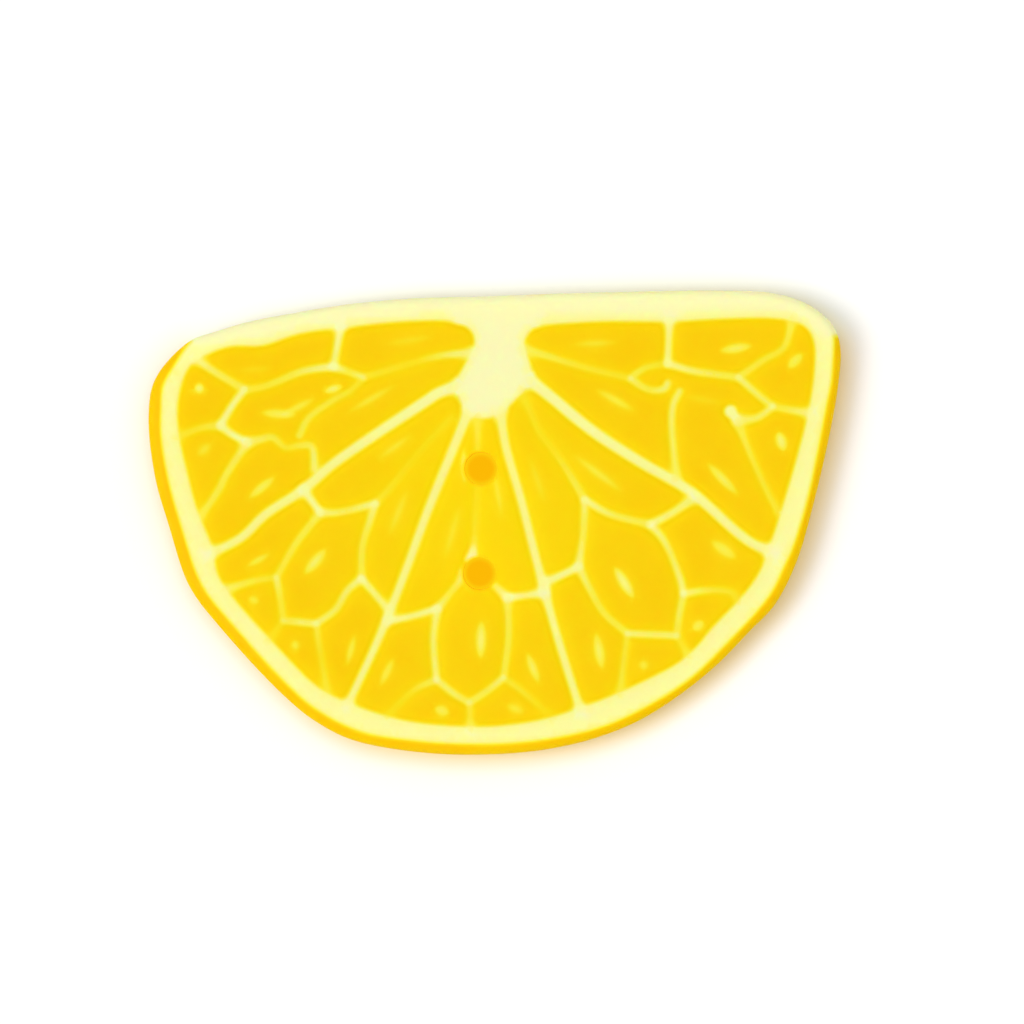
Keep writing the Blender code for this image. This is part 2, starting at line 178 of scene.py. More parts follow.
# Each membrane: its width in mm at its start and end, how pale it is at its start, middle
# and end (1 is the palest pith), then the corners and bends that it runs through
MEMBRANES = [
    # the four walls between the segments, from the core out to the border
    ((0.49, 0.37), (1.00, 0.88, 0.84),
     (455, 386), (437, 393), (425, 401), (375, 434), (332, 464), "b1", (265, 514), (241, 537),
     (208, 554)),
    ((0.43, 0.32), (0.88, 0.84, 0.86),
     (469, 408), (452, 450), (427, 511), (405, 571), (379, 636), (348, 703)),
    ((0.39, 0.34), (0.82, 0.87, 0.86),
     (500, 408), (504, 440), (521, 501), (536, 560), (558, 640), (580, 710)),
    ((0.50, 0.41), (1.00, 0.95, 0.92),
     (530, 380), (550, 396), (590, 429), (639, 461), (690, 491), (747, 540), (772, 552)),
    # segment a, upper left
    ((0.20, 0.20), (0.70, 0.55, 0.50), (196, 359), (217, 373), "a1"),
    ((0.20, 0.20), (0.35, 0.45, 0.75), "a1", (260, 387), (275, 382), (302, 371), "a4"),
    ((0.26, 0.26), (0.78, 0.82, 0.80), "a1", (232, 405), "a2"),
    ((0.18, 0.18), (0.40, 0.30, 0.28), "a2", (202, 427), (176, 437)),
    ((0.25, 0.25), (0.75, 0.90, 0.94), "a2", (232, 434), "a3"),
    ((0.20, 0.20), (0.55, 0.50, 0.45), "a3", (239, 454), (226, 474), (218, 490), (201, 515)),
    ((0.18, 0.18), (0.55, 0.28, 0.65),
     "a3", (260, 439), (272, 437), (285, 447), (300, 445), (311, 446), (314, 468)),
    ((0.25, 0.25), (0.66, 0.83, 0.90), "a4", (337, 345), (341, 322)),
    ((0.24, 0.24), (0.72, 0.42, 0.60), "a4", "a5"),
    ((0.18, 0.18), (0.25, 0.18, 0.70), "a5", (387, 370), (437, 356), (472, 352)),
    ((0.16, 0.14), (0.26, 0.36, 0.45), "a5", (349, 391), (334, 399), (308, 418), (299, 435)),
    # segment b, left
    ((0.25, 0.25), (0.80, 0.90, 0.84), "b1", "b2"),
    ((0.22, 0.22), (0.62, 0.54, 0.74), "b2", (337, 512), "b3"),
    ((0.22, 0.12), (0.25, 0.10, 0.13), "b3", (390, 487), (420, 450), (450, 418)),
    ((0.20, 0.20), (0.65, 0.45, 0.45), "b3", (369, 522), (362, 545), "b4"),
    ((0.20, 0.20), (0.50, 0.45, 0.38), "b2", (307, 528), (295, 544), "b5"),
    ((0.17, 0.17), (0.30, 0.40, 0.55), "b5", (255, 580), (225, 589)),
    ((0.20, 0.20), (0.60, 0.35, 0.35), "b5", (280, 598), "b6"),
    ((0.22, 0.22), (0.50, 0.65, 0.64), "b6", "b7"),
    ((0.14, 0.14), (0.17, 0.20, 0.20), "b6", (266, 643)),
    ((0.15, 0.15), (0.35, 0.20, 0.30), "b7", (318, 640), (327, 692)),
    ((0.22, 0.22), (0.70, 0.55, 0.60), "b4", (347, 590), (335, 609), "b7"),
    ((0.22, 0.22), (0.76, 0.71, 0.70), "b4", (369, 587), (387, 608)),
    # segment c, the middle one
    ((0.26, 0.26), (0.85, 0.75, 0.82), (388, 620), (410, 616), "c1"),
    ((0.20, 0.24), (0.58, 0.43, 0.58), "c1", (450, 592), (458, 582), (462, 572)),
    ((0.24, 0.24), (0.66, 0.60, 0.66), "c1", (433, 639), "c2"),
    ((0.15, 0.15), (0.45, 0.18, 0.16), "c2", (414, 689), (386, 716)),
    ((0.18, 0.18), (0.60, 0.60, 0.52), "c2", (455, 694), "c3"),
    ((0.16, 0.16), (0.35, 0.30, 0.50), "c3", (470, 730)),
    ((0.18, 0.18), (0.50, 0.50, 0.60), "c3", (487, 690), "c4"),
    ((0.20, 0.20), (0.45, 0.45, 0.50), "c4", (508, 636), "c5"),
    ((0.20, 0.20), (0.70, 0.65, 0.45), "c5", (489, 580)),
    ((0.26, 0.26), (0.90, 0.72, 0.90), "c5", (524, 595), (544, 592)),
    ((0.14, 0.14), (0.30, 0.25, 0.10), "c4", (521, 690), (552, 717)),
    # the faint vein of segment c, from the core through the first hole to the second
    ((0.18, 0.14), (0.38, 0.06, 0.22), (477, 414), (477, 440), (476, 490), (474, 540)),
    ((0.14, 0.55), (0.30, 0.85, 0.95), (474, 538), (473, 548), (471, 559)),
    # segment d, right
    ((0.14, 0.22), (0.22, 0.17, 0.45),
     (521, 392), (530, 412), (539, 432), (552, 449), (566, 469), "d1"),
    ((0.27, 0.27), (0.74, 0.52, 0.50), "d1", (608, 513), "d2"),
    ((0.34, 0.34), (0.75, 0.68, 0.70), "d2", (672, 512), (694, 497)),
    ((0.22, 0.22), (0.60, 0.50, 0.68), "d1", (583, 530), "d3"),
    ((0.30, 0.30), (0.84, 0.88, 0.85), "d3", (564, 573), (546, 581)),
    ((0.24, 0.24), (0.70, 0.53, 0.68), "d2", (664, 541), (679, 577), "d6"),
    ((0.22, 0.22), (0.60, 0.43, 0.45), "d3", (590, 590), (604, 613), "d4"),
    ((0.20, 0.20), (0.65, 0.62, 0.65), "d4", "d5"),
    ((0.18, 0.18), (0.45, 0.55, 0.54), "d5", (679, 612), "d6"),
    ((0.15, 0.15), (0.30, 0.30, 0.35), "d4", (624, 655), (619, 694)),
    ((0.14, 0.14), (0.22, 0.26, 0.38), "d5", (689, 657)),
    ((0.15, 0.15), (0.65, 0.33, 0.24), "d6", (702, 590), (722, 590), (732, 593), (738, 601)),
    # segment e, upper right
    ((0.18, 0.18), (0.50, 0.30, 0.26), (524, 349), (545, 355), (570, 363), (600, 371), "e1"),
    ((0.18, 0.18), (0.45, 0.33, 0.26), "e1", (637, 372), (646, 367), "e2"),
    ((0.18, 0.26), (0.55, 0.42, 0.65), "e1", (643, 387), (654, 390), (664, 388), (667, 383)),
    ((0.30, 0.30), (0.76, 0.72, 0.84), "e2", (669, 318)),
    ((0.24, 0.24), (0.72, 0.59, 0.48), "e2", (690, 370), (715, 374), "e3"),
    ((0.18, 0.18), (0.40, 0.35, 0.45), "e3", (762, 360), (783, 347), (792, 318)),
    ((0.24, 0.24), (0.64, 0.58, 0.54), "e3", (757, 394), "e4"),
    ((0.20, 0.20), (0.42, 0.58, 0.68), "e4", (792, 410), (812, 413)),
    ((0.22, 0.22), (0.62, 0.58, 0.58), "e4", (757, 417), "e5"),
    ((0.30, 0.54), (1.00, 1.00, 1.00), "e5", (730, 411)),
    ((0.15, 0.15), (0.45, 0.32, 0.30), "e5", (744, 440), (751, 457), (766, 490), (777, 511)),
    ((0.26, 0.26), (0.62, 0.55, 0.54),
     (679, 391), (673, 403), (671, 420), (673, 450), (676, 476)),
]

# Soft pale streaks in the pulp: how pale, how wide in mm at half strength, and the two ends
STREAKS = [
    (0.66, 0.42, (193, 388), (205, 388)),
    (0.18, 0.35, (236, 370), (274, 368)),
    (0.23, 0.35, (383, 344), (435, 336)),
    (0.50, 0.40, (259, 412), (297, 415)),
    (0.38, 0.35, (280, 416), (316, 397)),
    (0.66, 0.30, (323, 392), (343, 385)),
    (0.33, 0.33, (346, 413), (396, 384)),
    (0.32, 0.45, (196, 456), (212, 442)),
    (0.52, 0.37, (247, 499), (276, 475)),
    (0.32, 0.33, (377, 459), (412, 434)),
    (0.30, 0.38, (388, 537), (408, 487)),
    (0.40, 0.31, (245, 567), (271, 552)),
    (0.60, 0.42, (303, 575), (327, 547)),
    (0.38, 0.40, (247, 597), (260, 602)),
    (0.38, 0.40, (294, 638), (296, 651)),
    (0.40, 0.32, (355, 632), (346, 667)),
    (0.28, 0.36, (460, 504), (444, 560)),
    (0.32, 0.30, (493, 467), (502, 519)),
    (0.64, 0.42, (481, 618), (480, 660)),
    (0.42, 0.37, (394, 656), (379, 687)),
    (0.50, 0.46, (433, 707), (450, 713)),
    (0.35, 0.46, (505, 704), (525, 712)),
    (0.54, 0.37, (526, 651), (539, 684)),
    (0.25, 0.35, (529, 456), (545, 504)),
    (0.37, 0.37, (571, 453), (624, 493)),
    (0.75, 0.42, (613, 565), (634, 599)),
    (0.48, 0.48, (709, 539), (737, 559)),
    (0.57, 0.42, (595, 630), (602, 671)),
    (0.36, 0.46, (642, 658), (644, 671)),
    (0.50, 0.44, (691, 630), (704, 620)),
    (0.30, 0.35, (571, 344), (618, 342)),
    (0.37, 0.39, (594, 388), (636, 412)),
    (0.57, 0.39, (717, 351), (753, 345)),
    (0.50, 0.44, (786, 369), (803, 352)),
    (0.66, 0.44, (777, 430), (784, 452)),
    (0.53, 0.39, (705, 461), (739, 496)),
    (0.20, 0.35, (684, 396), (722, 403)),
    # and two beside the rims of the holes
    (0.50, 0.28, (463, 447), (464, 485)),
    (0.25, 0.25, (461, 577), (474, 592)),
]

BORDER_PALENESS = 0.93           # the pith between the pulp and the rind
CORE_PALENESS = 1.0
CUT_EDGE_BAND_PX = [
    (200, 336), (250, 330), (340, 312), (480, 304), (640, 302), (800, 306), (826, 328),
]
CUT_EDGE_BAND = 0.9              # mm; the pith along the cut edge is the palest


# ---------------------------------------------------------------------------------------
# The drawing: curves through its points, and distances to them, in millimetres

def smooth_path(points, closed=False, steps=5):
    """A smooth curve through all the points (a centripetal Catmull-Rom curve)."""
    points = np.array(points, dtype=float)
    if closed:
        points = np.vstack((points[-1], points, points[:2]))
    else:
        points = np.vstack((2 * points[0] - points[1], points, 2 * points[-1] - points[-2]))
    runs = np.diff(points, axis=0)
    times = np.sqrt(np.hypot(runs[:, 0], runs[:, 1]))[:, None]
    speeds = runs / times
    tangents = (speeds[:-1] * times[1:] + speeds[1:] * times[:-1]) / (times[:-1] + times[1:])
    start, end = points[1:-2], points[2:-1]
    leave, arrive = tangents[:-1] * times[1:-1], tangents[1:] * times[1:-1]
    t = np.linspace(0.0, 1.0, steps, endpoint=False)[:, None, None]
    path = (
        (2 * t**3 - 3 * t**2 + 1) * start
        + (t**3 - 2 * t**2 + t) * leave
        + (3 * t**2 - 2 * t**3) * end
        + (t**3 - t**2) * arrive
    )
    path = path.transpose(1, 0, 2).reshape(-1, 2)
    return path if closed else np.vstack((path, points[-2]))


drawn_outline = smooth_path(CUT_EDGE_PX + RIND_SIDE_PX, closed=True)
DRAWN_MIDDLE = (drawn_outline.min(axis=0) + drawn_outline.max(axis=0)) / 2
PIXEL = WIDTH / np.ptp(drawn_outline[:, 0])


def place(points_px):
    """Drawn points as x and y in millimetres, in the CAD frame."""
    return (np.array(points_px, dtype=float) - DRAWN_MIDDLE) * (PIXEL, -PIXEL) + MIDDLE


def curve(points_px, closed=False):
    """The smooth curve through some drawn points and named corners, in millimetres."""
    return place(smooth_path([CORNERS_PX.get(p, p) for p in points_px], closed))


def respaced(path, spacing, closed=True):
    """The same path with its points evenly spaced."""
    if closed:
        path = np.vstack((path, path[0]))
    lengths = np.concatenate(([0.0], np.cumsum(np.hypot(*np.diff(path, axis=0).T))))
    count = max(4, round(lengths[-1] / spacing))
    places = np.linspace(0.0, lengths[-1], count, endpoint=not closed)
    return np.column_stack([np.interp(places, lengths, axis) for axis in path.T])


def distance_to_run(points, start, end):
    """Distance of each point to a straight run, and its nearest place as a share of the run."""
    run = end - start
    share = np.clip((points - start) @ run / (run @ run), 0.0, 1.0)
    gap = points - start - share[:, None] * run
    return np.hypot(gap[:, 0], gap[:, 1]), share


def depth_in_loop(points, loop):
    """How far inside a closed loop each point lies; negative outside it."""
    nearest = np.full(len(points), np.inf)
    inside = np.zeros(len(points), dtype=bool)
    for start, end in zip(loop, np.roll(loop, -1, axis=0)):
        nearest = np.minimum(nearest, distance_to_run(points, start, end)[0])
        if start[1] != end[1]:
            slant = (end[0] - start[0]) / (end[1] - start[1])
            to_the_left = points[:, 0] < start[0] + (points[:, 1] - start[1]) * slant
            inside ^= to_the_left & ((start[1] > points[:, 1]) != (end[1] > points[:, 1]))
    return np.where(inside, nearest, -nearest)


def beside_path(points, path):
    """Distance of each point to a path, and its nearest place as a share of the path."""
    lengths = np.hypot(*np.diff(path, axis=0).T)
    starts = np.concatenate(([0.0], np.cumsum(lengths)))
    gap = np.full(len(points), np.inf)
    share = np.zeros(len(points))
    for i in range(len(path) - 1):
        run_gap, run_share = distance_to_run(points, path[i], path[i + 1])
        nearer = run_gap < gap
        gap[nearer] = run_gap[nearer]
        share[nearer] = ((starts[i] + run_share * lengths[i]) / starts[-1])[nearer]
    return gap, share


def fall(values, start, end):
    """1 below start, 0 above end, and smooth between."""
    t = np.clip((values - start) / (end - start), 0.0, 1.0)
    return 1.0 - t * t * (3.0 - 2.0 * t)


# ---------------------------------------------------------------------------------------
# The pattern of the face

PULP_EDGE = curve(PULP_EDGE_PX, closed=True)
CORE = curve(CORE_PX, closed=True)
OUTLINE = curve(CUT_EDGE_PX + RIND_SIDE_PX, closed=True)
RIND_LOOP = np.vstack((curve(RIND_EDGE_PX), place(RIND_OUTSIDE_PX)))
HOLES = place(HOLES_PX)
REACH = 2.0                      # mm; a membrane further off than this doesn't count


def each_border(points):
    """Every stretch of pith that bounds the pulp: which points it may reach, how deep in
    pulp each of them lies beside it, how pale it is there, and how far its colour smears
    over the pulp on either side."""
    everywhere = np.ones(len(points), dtype=bool)
    yield everywhere, depth_in_loop(points, PULP_EDGE), BORDER_PALENESS, 0.0
    yield everywhere, -depth_in_loop(points, CORE), CORE_PALENESS, 0.0
    for (first_width, last_width), shades, *stops in MEMBRANES:
        path = curve(stops)
        near = np.all(
            (points > path.min(axis=0) - REACH) & (points < path.max(axis=0) + REACH), axis=1
        )
        gap, share = beside_path(points[near], path)
        half_width = (first_width + (last_width - first_width) * share) / 2
        paleness = np.interp(share, SHADE_PLACES, shades)
        smear = np.maximum(THINNEST / 2 - half_width, 0.0)
        yield near, gap - half_width, paleness, smear


def each_webbed_border(points, smeared=False):
    """The same borders with their corners filled: a pale border that meets another one
    fills the corner with a web of pith, as in the real fruit, and a faint one doesn't.
    Smeared is as the eye sees them, and otherwise as they are cut."""
    borders = [
        (near, beside - smear * smeared, paleness)
        for near, beside, paleness, smear in each_border(points)
    ]
    pull = np.zeros(len(points))
    for near, beside, paleness in borders:
        pull[near] += paleness**WEB_FADE * np.exp(-beside / CORNER_WEB)
    for near, beside, paleness in borders:
        others = pull[near] * np.exp(beside / CORNER_WEB) - paleness**WEB_FADE
        yield near, beside - CORNER_WEB * np.log1p(np.clip(others, 0.0, 1.0)), paleness


def pulp_depth(points):
    """How far inside a pulp cell each point lies; negative on pith.  The nearest border
    counts, and a second one that is almost as near counts a little, for a smooth field."""
    depth = np.full(len(points), np.inf)
    for near, beside, _ in each_webbed_border(points):
        first = np.minimum(depth[near], beside)
        second = np.maximum(depth[near], beside)
        depth[near] = first - CORNER_EASE * np.log1p(np.exp((first - second) / CORNER_EASE))
    return depth


def groove_share(points):
    """1 down on the pith, 0 up on the pulp; a faint membrane makes a shallow groove."""
    above = np.ones(len(points))
    for near, beside, paleness in each_webbed_border(points):
        strength = np.clip(LEAST_GROOVE + paleness, 0.0, 1.0)
        above[near] *= 1.0 - strength * fall(beside, 0.0, CELL_EASE)
    return 1.0 - above


def paleness_at(points):
    """0 in plain pulp, up to 1 in the palest pith, and between where they bleed.

    Where borders meet, the palest counts most, and the others make it a little paler."""
    strength = np.zeros(len(points))
    for near, beside, paleness in each_webbed_border(points, smeared=True):
        strength[near] += (paleness * fall(beside, -BLEED, BLEED)) ** MEETING
    dark = 1.0 - np.minimum(strength ** (1.0 / MEETING), 1.0)
    band, _ = beside_path(points, curve(CUT_EDGE_BAND_PX))
    dark *= 1.0 - fall(band, CUT_EDGE_BAND / 2 - BLEED, CUT_EDGE_BAND / 2 + BLEED)
    return 1.0 - dark * (1.0 - streaks_at(points))


def streaks_at(points):
    """The pale streaks: soft lenses that taper and fade towards both ends."""
    dark = np.ones(len(points))
    for paleness, width, start_px, end_px in STREAKS:
        start, end = place([start_px, end_px])
        gap, share = distance_to_run(points, start, end)
        taper = 1.0 - (2.0 * share - 1.0) ** 2
        half_width = width / 2 * np.maximum(taper, STREAK_TIP) ** 0.5
        dark *= 1.0 - paleness * taper**STREAK_FADE * 0.5 ** ((gap / half_width) ** 2)
    return 1.0 - dark


def gold_at(points):
    """How deep a gold the pulp is: full in the middle of a cell, but yellower beside the
    pith, and all round the holes, where the segments narrow and pith shows through."""
    beside_pith = np.exp(-np.maximum(pulp_depth(points), 0.0) / YELLOW_EDGE)
    from_middle = np.hypot(*(points - HOLES.mean(axis=0)).T)
    near_middle = np.exp(-((from_middle / YELLOW_MIDDLE) ** 2))
    return (1.0 - YELLOWING * beside_pith) * (1.0 - YELLOWING * near_middle)


def painted_rim_light_at(points):
    """1 on the rims of the holes, where orange light is painted into the clay, and 0 off them."""
    beside_hole = np.min([np.hypot(*(points - hole).T) for hole in HOLES], axis=0) - HOLE_RADIUS
    return fall(beside_hole, 0.0, PAINTED_RIM_LIGHT_WIDTH)


def face_height(points):
    """Height of the face above the back, before its outer edge and rims are rounded."""
    depth = np.maximum(pulp_depth(points), 0.0)
    swell = CROWN * np.exp(-depth / SWELL)
    return THICKNESS - swell - (RELIEF - CROWN) * groove_share(points)


# ---------------------------------------------------------------------------------------
# The mesh

def level_lines(grid, values, level):
    """The closed lines along which a field sampled on a grid passes a level."""
    rows, columns = values.shape
    number = np.arange(rows * columns).reshape(rows, columns)
    lower_left, lower_right = number[:-1, :-1].ravel(), number[:-1, 1:].ravel()
    upper_left, upper_right = number[1:, :-1].ravel(), number[1:, 1:].ravel()
    triangles = np.vstack((
        np.column_stack((lower_left, lower_right, upper_right)),
        np.column_stack((lower_left, upper_right, upper_left)),
    ))
    values = values.ravel()
    above = values > level
    count = above[triangles].sum(axis=1)
    crossed = triangles[(count > 0) & (count < 3)]
    sides = np.sort(crossed[:, [[0, 1], [1, 2], [2, 0]]], axis=2)
    # Two sides of each of these triangles pass the level, and each is shared with a neighbour
    pairs = sides[above[sides[..., 0]] != above[sides[..., 1]]]
    ends, links = np.unique(pairs, axis=0, return_inverse=True)
    links = links.reshape(-1, 2)
    share = (level - values[ends[:, 0]]) / (values[ends[:, 1]] - values[ends[:, 0]])
    points = grid[ends[:, 0]] + share[:, None] * (grid[ends[:, 1]] - grid[ends[:, 0]])
    neighbours = [[] for _ in points]
    for one, other in links.tolist():
        neighbours[one].append(other)
        neighbours[other].append(one)
    unused = set(range(len(points)))
    lines = []
    while unused:
        at = min(unused)
        line = []
        while at is not None:
            unused.discard(at)
            line.append(at)
            at = next((other for other in neighbours[at] if other in unused), None)
        lines.append(points[line])
    return lines


def hexagonal_grid(spacing):
    """Evenly spread points over the whole drawing."""
    low, high = OUTLINE.min(axis=0), OUTLINE.max(axis=0)
    xs = np.arange(low[0], high[0], spacing)
    ys = np.arange(low[1], high[1], spacing * math.sin(math.radians(60)))
    x, y = np.meshgrid(xs, ys)
    x[1::2] += spacing / 2
    return np.column_stack((x.ravel(), y.ravel()))


def inset(loop, distance):
    """A loop moved inwards, for a loop that runs clockwise."""
    along = np.roll(loop, -1, axis=0) - np.roll(loop, 1, axis=0)
    along /= np.hypot(along[:, 0], along[:, 1])[:, None]
    return loop + distance * np.column_stack((along[:, 1], -along[:, 0]))


def circle(centre, radius):
    """A circle that runs clockwise."""
    angles = np.linspace(0.0, -math.tau, HOLE_SIDES, endpoint=False)
    return centre + radius * np.column_stack((np.cos(angles), np.sin(angles)))


def triangulate(rings, lines, dots):
    """A flat sheet of triangles inside the first ring and round the others, with triangle
    edges along the lines and corners at the dots."""
    loops = rings + lines
    starts = np.cumsum([0] + [len(loop) for loop in loops])
    following = np.arange(1, starts[-1] + 1)
    following[starts[1:] - 1] = starts[:-1]
    on_ring = starts[len(rings)]
    points = np.vstack(loops + [dots])
    hole_radius = np.hypot(*(rings[1][0] - HOLES[0]))
    kept = depth_in_loop(points, OUTLINE) > EDGE_SUPPORT + CLEARANCE
    for hole in HOLES:
        kept &= np.hypot(*(points - hole).T) > hole_radius + CLEARANCE
    kept[:on_ring] = True
    number = np.cumsum(kept) - 1
    joined = np.flatnonzero(kept[:starts[-1]] & kept[following])
    edges = np.column_stack((number[joined], number[following[joined]]))

    # Corners far outside keep slivers from forming along the nearly straight outer ring
    far = 2 * WIDTH * np.array([(-1, -1), (1, -1), (1, 1), (-1, 1)])
    corners = [Vector(point) for point in np.vstack((points[kept], far))]
    made = geometry.delaunay_2d_cdt(corners, edges.tolist(), [], 0, SAME_PLACE, True)
    corners, faces = np.array([tuple(corner) for corner in made[0]]), np.array(made[2])
    faces = faces[np.abs(corners[faces]).max(axis=(1, 2)) < WIDTH]
    ring_corner = np.array([min(sources, default=on_ring) < on_ring for sources in made[3]])
    middles = corners[faces].mean(axis=1)
    inside = np.ones(len(faces), dtype=bool)
    doubtful = ring_corner[faces].all(axis=1)
    inside[doubtful] = depth_in_loop(middles[doubtful], rings[0]) > 0.0
    for hole in HOLES:
        inside &= np.hypot(*(middles - hole).T) > hole_radius
    used, faces = np.unique(faces[inside], return_inverse=True)
    return corners[used], faces.reshape(-1, 3)


def make_button():
    """The whole button as one closed mesh."""
    columns = round(np.ptp(OUTLINE[:, 0]) / GRID)
    rows = round(np.ptp(OUTLINE[:, 1]) / GRID)
    x, y = np.meshgrid(
        np.linspace(OUTLINE[:, 0].min(), OUTLINE[:, 0].max(), columns),
        np.linspace(OUTLINE[:, 1].min(), OUTLINE[:, 1].max(), rows),
    )
    grid = np.column_stack((x.ravel(), y.ravel()))
    depths = pulp_depth(grid).reshape(x.shape)
    in_rind = depth_in_loop(grid, RIND_LOOP).reshape(x.shape)
    outline = respaced(OUTLINE, OUTLINE_STEP)
    rings = [inset(outline, EDGE_SUPPORT)]
    rings += [circle(hole, HOLE_RADIUS + RIM_SUPPORT) for hole in HOLES]

    sheets = []
    for levels, step in ((FACE_LEVELS, LINE_STEP), (BACK_LEVELS, BACK_STEP)):
        lines = [line for level in levels for line in level_lines(grid, depths, level)]
        lines += [line for level in RIND_LEVELS for line in level_lines(grid, in_rind, level)]
        open_dots = hexagonal_grid(OPEN_FILL)
        depth = pulp_depth(open_dots)
        in_the_open = (depth > levels[-1] + OPEN_GAP) | (depth < levels[0] - OPEN_GAP)
        streak_dots = hexagonal_grid(FINE_FILL)
        streak_dots = streak_dots[streaks_at(streak_dots) > FAINTEST_STREAK]
        clear_of_edge = pulp_depth(streak_dots) > levels[-1] + FINE_GAP
        dots = np.vstack((open_dots[in_the_open], streak_dots[clear_of_edge]))
        sheets.append(triangulate(rings, [respaced(line, step) for line in lines], dots))

    (face, face_triangles), (back, back_triangles) = sheets
    parts = [
        (np.column_stack((face, face_height(face))), face_triangles),
        (np.column_stack((back, np.zeros(len(back)))), back_triangles[:, ::-1]),
        side_wall(lambda distance: inset(outline, distance), EDGE_ROUND, EDGE_SUPPORT),
    ]
    for hole in HOLES:
        points, triangles = side_wall(
            lambda distance: circle(hole, HOLE_RADIUS + distance), RIM_ROUND, RIM_SUPPORT
        )
        parts.append((points, triangles[:, ::-1]))
    return joined_mesh(parts)


def side_wall(ring_at, radius, support):
    """The wall from the face round a rounded edge, down, and round to the back.

    ring_at gives the ring of points at a distance into the flat of the face."""
    turns = np.linspace(math.pi / 2, 0.0, ROUND_STEPS + 1)
    distances = np.array([support] + [radius * (1.0 - math.cos(turn)) for turn in turns])
    drops = np.array([0.0] + [radius * (1.0 - math.sin(turn)) for turn in turns])
    rings = []
    for distance, drop in zip(distances, drops):
        ring = ring_at(distance)
        rings.append(np.column_stack((ring, face_height(ring) - drop)))
    top = rings[-1]
    for share in np.linspace(0.0, 1.0, WALL_STEPS + 1)[1:-1]:
        ring = top.copy()
        ring[:, 2] = top[:, 2] + share * (radius - top[:, 2])
        rings.append(ring)
    for distance, drop in zip(distances[::-1], drops[::-1]):
        ring = ring_at(distance)
        rings.append(np.column_stack((ring, np.full(len(ring), drop))))
    count = len(top)
    here = np.arange(count)
    following = np.roll(here, -1)
    faces = []
    for row in range(len(rings) - 1):
        above, below = row * count, (row + 1) * count
        faces.append(np.column_stack((above + here, above + following, below + following)))
        faces.append(np.column_stack((above + here, below + following, below + here)))
    return np.vstack(rings), np.vstack(faces)


def joined_mesh(parts):
    """One mesh of several sheets and walls, welded where their edges meet."""
    points = np.vstack([points for points, _ in parts])
    starts = np.cumsum([0] + [len(points) for points, _ in parts])
    faces = np.vstack([faces + start for (_, faces), start in zip(parts, starts)])
    mesh = bpy.data.meshes.new("clay_orange_slice")
    mesh.from_pydata((points * MM).tolist(), [], faces.tolist())
    bm = bmesh.new()
    bm.from_mesh(mesh)
    bmesh.ops.remove_doubles(bm, verts=bm.verts, dist=WELD * MM)
    bm.to_mesh(mesh)
    bm.free()
    return mesh


def add_value(mesh, name, values):
    """Give every corner of a mesh a number that a material can read."""
    attribute = mesh.attributes.new(name, "FLOAT", "POINT")
    attribute.data.foreach_set("value", values.astype(np.float32))


# ---------------------------------------------------------------------------------------
# Materials

def linear(hex_colour):
    """An sRGB hex colour as linear red, green, blue and alpha."""
    channels = [int(hex_colour[i:i + 2], 16) / 255 for i in (1, 3, 5)]
    return [c / 12.92 if c <= 0.04045 else ((c + 0.055) / 1.055) ** 2.4 for c in channels] + [1.0]


def add_node(tree, kind, links=None, **settings):
    """Add a node. Settings are its properties, and links are its inputs: values or sockets."""
    node = tree.nodes.new(kind)
    for name, value in settings.items():
        setattr(node, name, value)
    for name, value in (links or {}).items():
        if isinstance(value, bpy.types.NodeSocket):
            tree.links.new(value, node.inputs[name])
        else:
            node.inputs[name].default_value = value
    return node


# Sockets of a Mix node that mixes colours
FACTOR, FIRST, SECOND, MIXED = 0, 6, 7, 2


